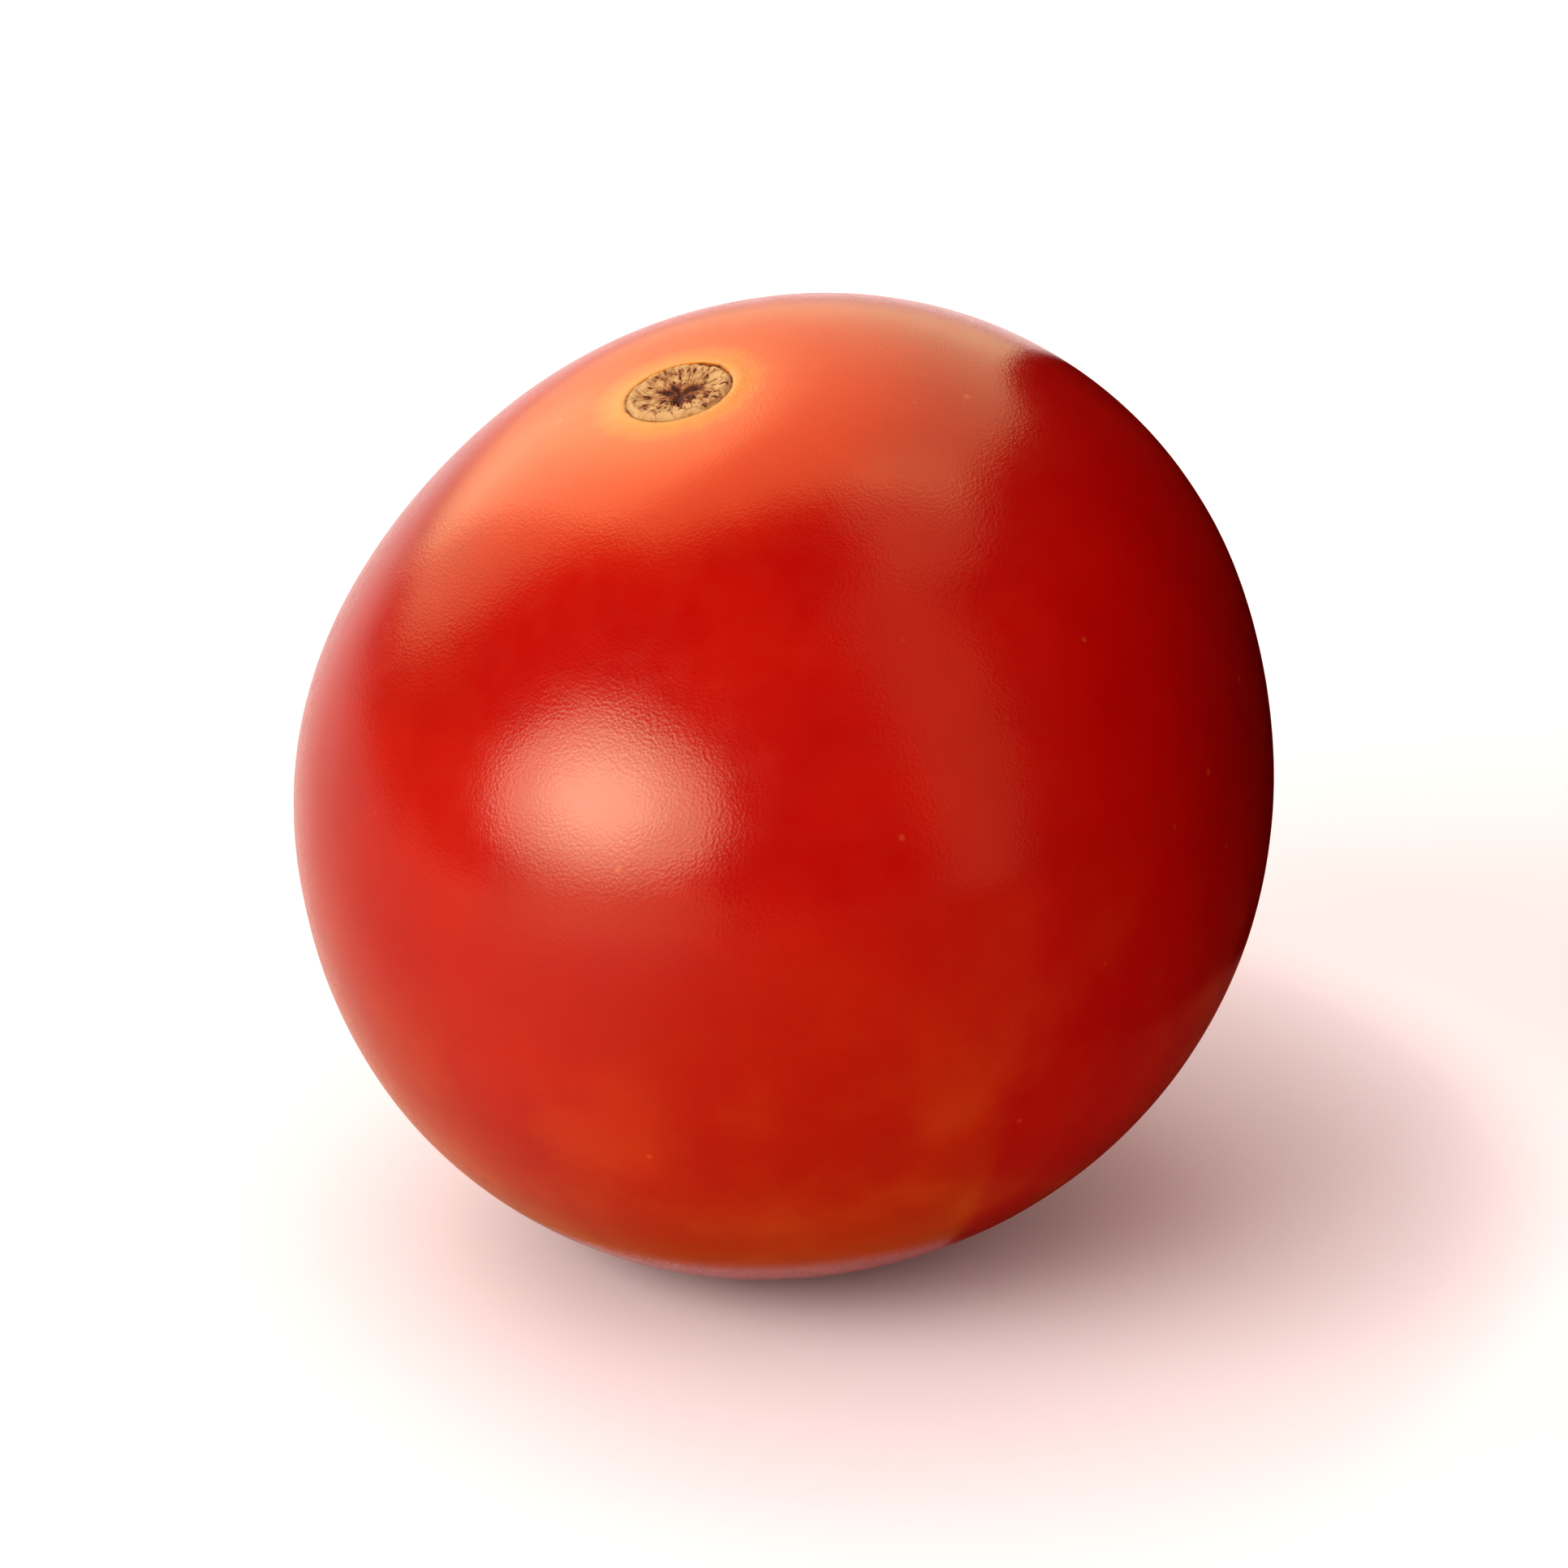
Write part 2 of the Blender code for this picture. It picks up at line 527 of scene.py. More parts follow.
@dataclass(frozen=True)
class CardCloth:
    """Cotton over a studio card: close woven, with no shine, coloured per corner.

    The eye never meets the cloth: it gives the fruit's shine a soft edge, or shades a side. On the
    cards that lie on the floor its colour is painted shade of the floor.
    """

    name: str

    def make(self) -> bpy.types.Material:
        """Builds the material.

        Returns:
            The material.
        """
        material, tree, shader = new_material(
            self.name, {"Roughness": 1.0, "Specular IOR Level": 0.0}
        )
        tint = add(tree, "ShaderNodeAttribute", out="Color", attribute_name=SHADE)
        tree.links.new(tint, shader["Base Color"])
        return material


# ------------------------------------------------------------------------- the fruit


@dataclass
class Skin:
    """The fruit's skin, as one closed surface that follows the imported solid."""

    equator_radius: float = 0.0163
    stem_height: float = 0.01475
    blossom_height: float = 0.01605
    fullness: float = 2.15
    basin_depth: float = 0.00055
    basin_radius: float = 0.0046
    seat_radius: float = 0.00170  # the round seat that the cork scar lies in
    seat_depth: float = 0.00022
    seat_wall: float = 0.00015
    lip_height: float = 0.00002
    lip_width: float = 0.00028
    tip_radius: float = 0.0005
    tip_height: float = 0.00012
    lobes: tuple[tuple[int, float, float], ...] = (
        (2, 0.00035, radians(62)),
        (3, 0.00011, radians(44)),
        (5, 0.00005, radians(10)),
    )
    shoulder_drop: float = 0.0019
    shoulder_side: float = radians(208)
    shoulder_polar: float = radians(37)
    shoulder_spread: float = radians(36.5)
    wave_height: float = 0.00006  # a grown skin is never quite even
    wave_length: float = 0.0065
    lean: float = radians(12.8)  # the stem end leans towards -X
    nod: float = radians(3.8)  # and towards -Y
    rest_sag: float = 0.00025
    seed: float = 4.0
    around_steps: int = 256
    rings: int = 340
    crowding: float = 2.0  # above 1, rings lie closer together towards the stem end
    finish: RipeSkin = field(default_factory=RipeSkin)

    def outline(self, tree: Tree, given: Any, polar: Socket) -> tuple[Socket, Socket]:
        """Draws the fruit's half outline, with what its two ends have.

        Args:
            tree: The tree to draw it in.
            given: The tree's named inputs.
            polar: The angle from the stem end.

        Returns:
            A point's distance from the axis, and its level.
        """
        # The plain body: an ellipse that Fullness fills out
        along = add(tree, MATH, {0: polar}, operation="COSINE")
        across = add(tree, MATH, {0: polar}, operation="SINE")
        stem_end = add(tree, MATH, {0: along, 1: 0.0}, operation="GREATER_THAN")
        heights = {"Factor": stem_end, 2: given["Blossom Height"], 3: given["Stem Height"]}
        half_height = add(tree, MIX, heights, data_type="FLOAT")
        upright = add(tree, MATH, {0: along}, operation="ABSOLUTE")
        shares = []
        for extent, size in ((upright, half_height), (across, given["Equator Radius"])):
            share = add(tree, MATH, {0: extent, 1: size}, operation="DIVIDE")
            shares.append(add(tree, MATH, {0: share, 1: given["Fullness"]}, operation="POWER"))
        total = add(tree, MATH, dict(enumerate(shares)), operation="ADD")
        root = add(tree, MATH, {0: -1.0, 1: given["Fullness"]}, operation="DIVIDE")
        reach = add(tree, MATH, {0: total, 1: root}, operation="POWER")
        distance = add(tree, MATH, {0: reach, 1: across}, operation="MULTIPLY")
        level = add(tree, MATH, {0: reach, 1: along}, operation="MULTIPLY")

        # The stem end's basin, the scar's seat with a lip of skin round it, and the tip
        wall = {0: given["Seat Radius"], 1: given["Seat Wall"]}
        inner = add(tree, MATH, wall, operation="SUBTRACT")
        outer = add(tree, MATH, wall, operation="ADD")
        seat = add(
            tree, RANGE, {0: distance, 1: inner, 2: outer, 3: given["Seat Depth"], 4: 0.0}, **SOFT
        )
        past_lip = distance
        for size in ("Seat Radius", "Lip Width"):
            past_lip = add(tree, MATH, {0: past_lip, 1: given[size]}, operation="SUBTRACT")
        bell = bell_group()
        humps = []
        for offset, spread, tall in (
            (distance, "Basin Radius", "Basin Depth"),
            (past_lip, "Lip Width", "Lip Height"),
            (distance, "Tip Radius", "Tip Height"),
        ):
            hump = add(tree, GROUP, {"Offset": offset, "Spread": given[spread]}, node_tree=bell)
            humps.append(add(tree, MATH, {0: hump, 1: given[tall]}, operation="MULTIPLY"))
        basin, lip, tip = humps
        sunk = add(tree, MATH, {0: basin, 1: seat}, operation="ADD")
        sunk = add(tree, MATH, {0: sunk, 1: lip}, operation="SUBTRACT")
        sunk = add(tree, MATH, {0: sunk, 1: stem_end}, operation="MULTIPLY")
        stands = add(tree, MIX, {"Factor": stem_end, 2: tip, 3: 0.0}, data_type="FLOAT")
        for drop in (sunk, stands):
            level = add(tree, MATH, {0: level, 1: drop}, operation="SUBTRACT")
        return distance, level

    def swollen(
        self, tree: Tree, given: Any, around: Socket, distance: Socket, level: Socket
    ) -> Socket:
        """Turns the outline about the axis, with lobes, the low shoulder and soft waves.

        Args:
            tree: The tree to do it in.
            given: The tree's named inputs.
            around: The angle about the axis.
            distance: The outline's distance from the axis.
            level: The outline's level.

        Returns:
            The point of the skin.
        """
        east = add(tree, MATH, {0: around}, operation="COSINE")
        north = add(tree, MATH, {0: around}, operation="SINE")
        east = add(tree, MATH, {0: east, 1: distance}, operation="MULTIPLY")
        north = add(tree, MATH, {0: north, 1: distance}, operation="MULTIPLY")
        plain = add(tree, JOIN, {0: east, 1: north, 2: level})
        length = add(tree, VECTOR, {0: plain}, out="Value", operation="LENGTH")
        sideways = add(tree, MATH, {0: distance, 1: length}, operation="DIVIDE")

        lobe = lobe_group()
        out = None
        for count, _, _ in self.lobes:
            sizes = {"Height": given[f"Lobe {count} Height"], "Start": given[f"Lobe {count} Start"]}
            spot = {"Around": around, "Sideways": sideways, "Count": float(count)}
            one = add(tree, GROUP, {**spot, **sizes}, node_tree=lobe)
            out = one if out is None else add(tree, MATH, {0: out, 1: one}, operation="ADD")

        turn = add(tree, MATH, {0: around, 1: given["Shoulder Side"]}, operation="SUBTRACT")
        turn = add(tree, MATH, {0: turn}, operation="COSINE")
        low_side = add(tree, MATH, {0: turn, 1: 0.5, 2: 0.5}, operation="MULTIPLY_ADD")
        upness = add(tree, MATH, {0: level, 1: length}, operation="DIVIDE")
        upness = add(tree, MATH, {0: upness}, operation="ARCCOSINE")
        past = add(tree, MATH, {0: upness, 1: given["Shoulder Polar"]}, operation="SUBTRACT")
        spread = given["Shoulder Spread"]
        drop = add(tree, GROUP, {"Offset": past, "Spread": spread}, node_tree=bell_group())
        for share in (given["Shoulder Drop"], low_side, sideways):
            drop = add(tree, MATH, {0: drop, 1: share}, operation="MULTIPLY")
        out = add(tree, MATH, {0: out, 1: drop}, operation="SUBTRACT")

        tightness = add(tree, MATH, {0: 1.0, 1: given["Wave Length"]}, operation="DIVIDE")
        wave = add(
            tree,
            NOISE,
            {"Vector": plain, "W": given["Seed"], "Scale": tightness, "Detail": 2.0, "Roughness": 0.35},
            noise_dimensions="4D",
        )
        wave = add(tree, MATH, {0: wave, 1: 2.0, 2: -1.0}, operation="MULTIPLY_ADD")
        for share in (given["Wave Height"], sideways):
            wave = add(tree, MATH, {0: wave, 1: share}, operation="MULTIPLY")
        out = add(tree, MATH, {0: out, 1: wave}, operation="ADD")
        swell = add(tree, MATH, {0: out, 1: length}, operation="DIVIDE")
        swell = add(tree, MATH, {0: swell, 1: 1.0}, operation="ADD")
        return add(tree, VECTOR, {0: plain, "Scale": swell}, operation="SCALE")

    def tree(self, sizes: dict[str, Any]) -> Tree:
        """Builds the tree that grows the skin.

        Args:
            sizes: The named inputs.

        Returns:
            The tree.
        """
        tree, given = new_tree("ripe_fruit", sizes)
        ball = add(
            tree,
            "GeometryNodeMeshUVSphere",
            {"Segments": given["Around Steps"], "Rings": given["Rings"], "Radius": 1.0},
        ).node.outputs
        mapped = add(
            tree,
            STORE,
            {"Geometry": ball["Mesh"], "Name": "OFBake", "Value": ball["UV Map"]},
            data_type="FLOAT2",
            domain="CORNER",
        )
        spot = add(tree, SPLIT, {0: add(tree, PLACE)}).node.outputs
        around = add(tree, MATH, {0: spot["Y"], 1: spot["X"]}, operation="ARCTAN2")
        even = add(tree, MATH, {0: spot["Z"]}, operation="ARCCOSINE")
        share = add(tree, MATH, {0: even, 1: pi}, operation="DIVIDE")
        crowded = add(tree, MATH, {0: share, 1: given["Crowding"]}, operation="POWER")
        polar = add(tree, MATH, {0: crowded, 1: pi}, operation="MULTIPLY")
        distance, level = self.outline(tree, given, polar)
        swollen = self.swollen(tree, given, around, distance, level)
        shaped = add(tree, MOVE, {"Geometry": mapped, "Position": swollen})
        kept = add(
            tree,
            STORE,
            {"Geometry": shaped, "Name": GROWN, "Value": add(tree, PLACE)},
            data_type="FLOAT_VECTOR",
            domain="POINT",
        )

        # Grown, then leaned over and pressed flat where it rests
        leaned = add(tree, PLACE)
        tilt = add(tree, MATH, {0: given["Lean"], 1: -1.0}, operation="MULTIPLY")
        for angle, axis in ((tilt, "Y_AXIS"), (given["Nod"], "X_AXIS")):
            turned = {"Vector": leaned, "Angle": angle}
            leaned = add(tree, "ShaderNodeVectorRotate", turned, rotation_type=axis)
        leaning = add(tree, MOVE, {"Geometry": kept, "Position": leaned})
        lowest = add(tree, "GeometryNodeBoundBox", {"Geometry": leaning}, out="Min")
        lowest = add(tree, SPLIT, {0: lowest}, out="Z")
        surface = add(tree, MATH, {0: lowest, 1: given["Rest Sag"]}, operation="ADD")
        now = add(tree, SPLIT, {0: add(tree, PLACE)}).node.outputs
        pressed = add(tree, MATH, {0: now["Z"], 1: surface}, operation="MAXIMUM")
        resting = add(tree, JOIN, {0: now["X"], 1: now["Y"], 2: pressed})
        done = add(tree, MOVE, {"Geometry": leaning, "Position": resting})
        done = add(tree, "GeometryNodeSetShadeSmooth", {"Geometry": done})
        done = add(tree, "GeometryNodeRealizeInstances", {"Geometry": done})
        finish = {"Geometry": done, "Material": given["Finish"]}
        add(tree, "NodeGroupOutput", {0: add(tree, "GeometryNodeSetMaterial", finish)})
        return tree

    def build(self) -> bpy.types.Object:
        """Grows the skin, leaned over, about its own centre.

        Returns:
            The skin.
        """
        sizes = named_sizes(self)
        for count, height, start in self.lobes:
            sizes[f"Lobe {count} Height"] = height
            sizes[f"Lobe {count} Start"] = start
        return grow("fruit_skin", self.tree(sizes), sizes)

    def stance(self) -> Matrix:
        """The turn from the fruit's own axis to how it rests."""
        return Matrix.Rotation(self.nod, 4, "X") @ Matrix.Rotation(-self.lean, 4, "Y")

    def seat_height(self) -> float:
        """How far the bottom of the scar's seat is from the fruit's centre."""
        return self.stem_height - self.basin_depth - self.seat_depth

    def tip_end(self) -> float:
        """How far the end of the blossom tip is from the fruit's centre."""
        return self.blossom_height + self.tip_height


class End(Enum):
    """Which end of the fruit a cork button sits at."""

    STEM = 1
    BLOSSOM = -1


@dataclass
class CorkButton:
    """A round plug of dry cork: a dished top with a rim, radial ridges and a torn star."""

    name: str
    end: End
    radius: float
    thickness: float  # from the rim down to the hidden underside
    dish: float  # how far the middle lies below the rim
    rim_height: float
    rim_width: float  # as a share of the radius
    wobble: float  # how far the edge strays in and out, as a share of the radius
    ridge_height: float
    ridge_count: float  # ridges in a quarter turn
    crack_depth: float
    star_depth: float
    star_arms: float
    star_start: float
    star_reach: float  # as a share of the radius
    seed: float
    flake_count: int
    flake_length: float
    finish: DryCork = field(default_factory=DryCork)
    around_steps: int = 240
    rings: int = 120
    waist: float = 0.45  # how high the rounded edge is, as a share of the thickness
    flake_start: float = 0.28  # where flakes lie, as shares of the radius
    flake_end: float = 0.90
    flake_shape: tuple[float, float, float] = (1.0, 0.28, 0.16)  # shares of its length
    flake_grades: tuple[float, float] = (0.45, 1.25)  # the shortest's and longest's share
    flake_tones: tuple[float, float] = (-0.15, 0.65)  # the palest's and darkest's tone
    flake_seed: int = 7

    def star(
        self, tree: Tree, given: Any, around: Socket, share: Socket, stray: Socket
    ) -> Socket:
        """Tears a star in the middle, whose arms wander.

        Args:
            tree: The button's tree.
            given: The tree's named inputs.
            around: The angle about the button's middle.
            share: How far out a point is, 0 to 1.
            stray: Slow noise from -1 to 1 that the arms wander by.

        Returns:
            How far inside the star a point is, 0 to 1.
        """
        turn = add(tree, MATH, {0: around, 1: given["Star Start"]}, operation="SUBTRACT")
        turn = add(tree, MATH, {0: stray, 1: 0.8, 2: turn}, operation="MULTIPLY_ADD")
        for factor in (given["Star Arms"], 0.5):
            turn = add(tree, MATH, {0: turn, 1: factor}, operation="MULTIPLY")
        arm = add(tree, MATH, {0: turn}, operation="COSINE")
        arm = add(tree, MATH, {0: arm}, operation="ABSOLUTE")
        arm = add(tree, MATH, {0: arm, 1: 4.0}, operation="POWER")
        arm = add(tree, MATH, {0: arm, 1: 0.62, 2: 0.38}, operation="MULTIPLY_ADD")
        arm = add(tree, MATH, {0: arm, 1: given["Star Reach"]}, operation="MULTIPLY")
        inside = add(tree, MATH, {0: arm, 1: share}, operation="SUBTRACT")
        inside = add(tree, MATH, {0: stray, 1: 0.09, 2: inside}, operation="MULTIPLY_ADD")
        return add(tree, RANGE, {0: inside, 1: -0.05, 2: 0.16, 3: 0.0, 4: 1.0}, **SOFT)

    def level(self, tree: Tree, given: Any, side: Socket, marks: tuple[Socket, ...]) -> Socket:
        """Raises the button's top and closes its underside.

        Args:
            tree: The button's tree.
            given: The tree's named inputs.
            side: 1 in the middle of the top, 0 at the edge, -1 under the middle.
            marks: The ridges, the splits and the star, each 0 to 1.

        Returns:
            A point's height over the underside.
        """
        ridges, split, star = marks
        edge = add(tree, MATH, {0: side}, operation="ABSOLUTE")
        share = add(tree, MATH, {0: 1.0, 1: edge}, operation="SUBTRACT")
        hollow = add(tree, MATH, {0: share, 1: share}, operation="MULTIPLY")
        hollow = add(tree, MATH, {0: 1.0, 1: hollow}, operation="SUBTRACT")
        rim_at = add(tree, MATH, {0: 1.0, 1: given["Rim Width"]}, operation="SUBTRACT")
        off_rim = add(tree, MATH, {0: share, 1: rim_at}, operation="SUBTRACT")
        hump = {"Offset": off_rim, "Spread": given["Rim Width"]}
        rim = add(tree, GROUP, hump, node_tree=bell_group())
        uneven = add(tree, MATH, {0: ridges, 1: 2.0, 2: -1.0}, operation="MULTIPLY_ADD")
        height = given["Thickness"]
        for shape, size, way in (
            (hollow, "Dish", "SUBTRACT"),
            (rim, "Rim Height", "ADD"),
            (uneven, "Ridge Height", "ADD"),
            (split, "Crack Depth", "SUBTRACT"),
            (star, "Star Depth", "SUBTRACT"),
        ):
            step = add(tree, MATH, {0: shape, 1: given[size]}, operation="MULTIPLY")
            height = add(tree, MATH, {0: height, 1: step}, operation=way)
        rounded = add(tree, RANGE, {0: edge, 1: 0.0, 2: 0.10, 3: given["Waist"], 4: 1.0}, **SOFT)
        height = add(tree, MATH, {0: height, 1: rounded}, operation="MULTIPLY")
        middle = add(tree, MATH, {0: given["Thickness"], 1: given["Waist"]}, operation="MULTIPLY")
        under = add(tree, RANGE, {0: edge, 1: 0.0, 2: 0.10, 3: middle, 4: 0.0}, **SOFT)
        top = add(tree, MATH, {0: side, 1: 0.0}, operation="GREATER_THAN")
        return add(tree, MIX, {"Factor": top, 2: under, 3: height}, data_type="FLOAT")

    def darkness(self, tree: Tree, share: Socket, marks: tuple[Socket, ...]) -> Socket:
        """Stains the cork dark in its cracks and round its middle, and paints shade along its edge.

        Args:
            tree: The button's tree.
            share: How far out a point is, 0 to 1.
            marks: The ridges, the splits and the star, each 0 to 1.

        Returns:
            How dark a point is, about 0 to 1.
        """
        ridges, split, star = marks
        dark = add(tree, MATH, {0: split, 1: 0.2}, operation="MULTIPLY")
        stain = add(tree, RANGE, {0: ridges, 1: 0.46, 2: 0.68, 3: 0.0, 4: 0.62}, **SOFT)
        inner = add(tree, RANGE, {0: share, 1: 0.35, 2: 0.95, 3: 1.0, 4: 0.25})
        heart = add(tree, RANGE, {0: share, 1: 0.1, 2: 0.75, 3: 0.9, 4: 0.0}, **SOFT)
        # Painted shade: a dark line along the cork's edge, where the gap under it is shaded.
        painted_edge_shade = add(tree, RANGE, {0: share, 1: 0.93, 2: 1.0, 3: 0.0, 4: 0.45})
        for mark, extent, way in (
            (stain, inner, "ADD"),
            (heart, ridges, "ADD"),
            (star, 0.9, "MAXIMUM"),
            (painted_edge_shade, ridges, "MAXIMUM"),
        ):
            mark = add(tree, MATH, {0: mark, 1: extent}, operation="MULTIPLY")
            dark = add(tree, MATH, {0: dark, 1: mark}, operation=way)
        return dark

    def flakes(self, tree: Tree, given: Any, button: Socket) -> Socket:
        """Scatters loose flakes of cork that lie along the ridges.

        Args:
            tree: The button's tree.
            given: The tree's named inputs.
            button: The button that they lie on.

        Returns:
            The flakes, as instances.
        """
        area = add(tree, "GeometryNodeInputMeshFaceArea")
        facing = add(tree, SPLIT, {0: add(tree, "GeometryNodeInputNormal")}, out="Z")
        far = add(tree, "GeometryNodeInputNamedAttribute", {"Name": REACH}, data_type="FLOAT")
        chosen = add(tree, MATH, {0: facing, 1: 0.3}, operation="GREATER_THAN")
        for limit, test in (("Flake Start", "GREATER_THAN"), ("Flake End", "LESS_THAN")):
            fits = add(tree, MATH, {0: far, 1: given[limit]}, operation=test)
            chosen = add(tree, MATH, {0: chosen, 1: fits}, operation="MULTIPLY")
        kept_area = add(tree, MATH, {0: area, 1: chosen}, operation="MULTIPLY")
        total = add(
            tree,
            "GeometryNodeAttributeStatistic",
            {"Geometry": button, "Attribute": kept_area},
            out="Sum",
            data_type="FLOAT",
            domain="FACE",
        )
        density = add(tree, MATH, {0: given["Flake Count"], 1: total}, operation="DIVIDE")
        scatter = add(
            tree,
            "GeometryNodeDistributePointsOnFaces",
            {"Mesh": button, "Selection": chosen, "Density": density, "Seed": given["Flake Seed"]},
        ).node.outputs
        outwards = add(tree, VECTOR, {0: add(tree, PLACE), 1: (1, 1, 0)}, operation="MULTIPLY")
        align = "FunctionNodeAlignRotationToVector"
        lying = add(tree, align, {"Vector": scatter["Normal"]}, axis="Z")
        lying = add(tree, align, {"Rotation": lying, "Vector": outwards}, axis="X", pivot_axis="Z")

        # One flake: a thin slip, bowed down and narrowed towards its ends
        slip = {"Size": self.flake_shape, "Vertices X": 4, "Vertices Y": 2, "Vertices Z": 2}
        flake = add(tree, "GeometryNodeMeshCube", slip)
        spot = add(tree, SPLIT, {0: add(tree, PLACE)}).node.outputs
        bow = add(tree, MATH, {0: spot["X"], 1: spot["X"]}, operation="MULTIPLY")
        lift = add(tree, MATH, {0: bow, 1: -0.5}, operation="MULTIPLY")
        pinch = add(tree, MATH, {0: bow, 1: -2.6, 2: 1.0}, operation="MULTIPLY_ADD")
        narrow = add(tree, MATH, {0: spot["Y"], 1: pinch}, operation="MULTIPLY")
        raised = add(tree, MATH, {0: spot["Z"], 1: lift}, operation="ADD")
        bowed = add(tree, JOIN, {0: spot["X"], 1: narrow, 2: raised})
        flake = add(tree, MOVE, {"Geometry": flake, "Position": bowed})

        grade, tone = (
            add(tree, RANDOM, {2: least, 3: most, "Seed": seed}, out=1, data_type="FLOAT")
            for (least, most), seed in ((self.flake_grades, 11), (self.flake_tones, 3))
        )
        length = add(tree, MATH, {0: grade, 1: given["Flake Length"]}, operation="MULTIPLY")
        flakes = add(
            tree,
            "GeometryNodeInstanceOnPoints",
            {
                "Points": scatter["Points"],
                "Instance": flake,
                "Rotation": lying,
                "Scale": add(tree, JOIN, {0: length, 1: length, 2: length}),
            },
        )
        return add(
            tree,
            STORE,
            {"Geometry": flakes, "Name": TONE, "Value": tone},
            data_type="FLOAT",
            domain="INSTANCE",
        )

    def tree(self, sizes: dict[str, Any]) -> Tree:
        """Builds the tree that grows the button, lying flat with its underside at zero.

        Args:
            sizes: The named inputs.

        Returns:
            The tree.
        """
        tree, given = new_tree(self.name, sizes)
        ball = add(
            tree,
            "GeometryNodeMeshUVSphere",
            {"Segments": given["Around Steps"], "Rings": given["Rings"], "Radius": 1.0},
        )
        spot = add(tree, SPLIT, {0: add(tree, PLACE)}).node.outputs
        around = add(tree, MATH, {0: spot["Y"], 1: spot["X"]}, operation="ARCTAN2")
        polar = add(tree, MATH, {0: spot["Z"]}, operation="ARCCOSINE")
        polar = add(tree, MATH, {0: polar, 1: pi / 2}, operation="DIVIDE")
        side = add(tree, MATH, {0: 1.0, 1: polar}, operation="SUBTRACT")
        edge = add(tree, MATH, {0: side}, operation="ABSOLUTE")
        share = add(tree, MATH, {0: 1.0, 1: edge}, operation="SUBTRACT")
        east = add(tree, MATH, {0: around}, operation="COSINE")
        north = add(tree, MATH, {0: around}, operation="SINE")

        # Noise that runs out from the middle: fine across, slow along
        shifted = add(tree, MATH, {0: share, 1: 0.9}, operation="MULTIPLY")
        heading = add(tree, JOIN, {0: east, 1: north, 2: shifted})
        run = {"Vector": heading, "W": given["Seed"]}
        fine = {**run, "Scale": given["Ridge Count"]}
        ridges = add(
            tree,
            NOISE,
            {**fine, "Detail": 4.0, "Roughness": 0.62, "Distortion": 0.25},
            noise_dimensions="4D",
        )
        stray = add(tree, NOISE, {**run, "Scale": 2.2, "Detail": 3.0}, noise_dimensions="4D")
        stray = add(tree, MATH, {0: stray, 1: 2.0, 2: -1.0}, operation="MULTIPLY_ADD")
        cells = add(
            tree,
            "ShaderNodeTexVoronoi",
            fine,
            voronoi_dimensions="4D",
            feature="DISTANCE_TO_EDGE",
        )
        split = add(tree, RANGE, {0: cells, 1: 0.0, 2: 0.09, 3: 1.0, 4: 0.0}, **SOFT)
        outward = add(tree, RANGE, {0: share, 1: 0.12, 2: 0.45, 3: 0.0, 4: 1.0}, **SOFT)
        split = add(tree, MATH, {0: split, 1: outward}, operation="MULTIPLY")
        marks = (ridges, split, self.star(tree, given, around, share, stray))

        stretch = add(tree, MATH, {0: stray, 1: given["Wobble"], 2: 1.0}, operation="MULTIPLY_ADD")
        reach = add(tree, MATH, {0: share, 1: given["Radius"]}, operation="MULTIPLY")
        reach = add(tree, MATH, {0: reach, 1: stretch}, operation="MULTIPLY")
        east = add(tree, MATH, {0: east, 1: reach}, operation="MULTIPLY")
        north = add(tree, MATH, {0: north, 1: reach}, operation="MULTIPLY")
        shape = add(tree, JOIN, {0: east, 1: north, 2: self.level(tree, given, side, marks)})

        marked = ball
        for name, value in ((CORK_DARKNESS, self.darkness(tree, share, marks)), (REACH, share)):
            marked = add(
                tree,
                STORE,
                {"Geometry": marked, "Name": name, "Value": value},
                data_type="FLOAT",
                domain="POINT",
            )
        button = add(tree, MOVE, {"Geometry": marked, "Position": shape})
        flakes = self.flakes(tree, given, button)
        smooth = add(tree, "GeometryNodeSetShadeSmooth", {"Geometry": button})
        joined = add(tree, "GeometryNodeJoinGeometry", {0: flakes})
        tree.links.new(smooth, joined.node.inputs[0])
        done = add(tree, "GeometryNodeRealizeInstances", {"Geometry": joined})
        finish = {"Geometry": done, "Material": given["Finish"]}
        add(tree, "NodeGroupOutput", {0: add(tree, "GeometryNodeSetMaterial", finish)})
        return tree

    def build(self) -> bpy.types.Object:
        """Grows the button, lying flat with its underside at zero.

        Returns:
            The button.
        """
        sizes = named_sizes(self)
        return grow(self.name, self.tree(sizes), sizes)

    def seat(self, button: bpy.types.Object, height: float, stance: Matrix) -> None:
        """Stands the button at its end of the fruit, about the fruit's centre.

        Args:
            button: The built button.
            height: How far its underside is from the fruit's centre.
            stance: The turn from the fruit's own axis to how it rests.
        """
        flip = Matrix.Rotation(0.0 if self.end is End.STEM else pi, 4, "X")
        out = Matrix.Translation((0.0, 0.0, self.end.value * height))
        button.data.transform(stance @ out @ flip)


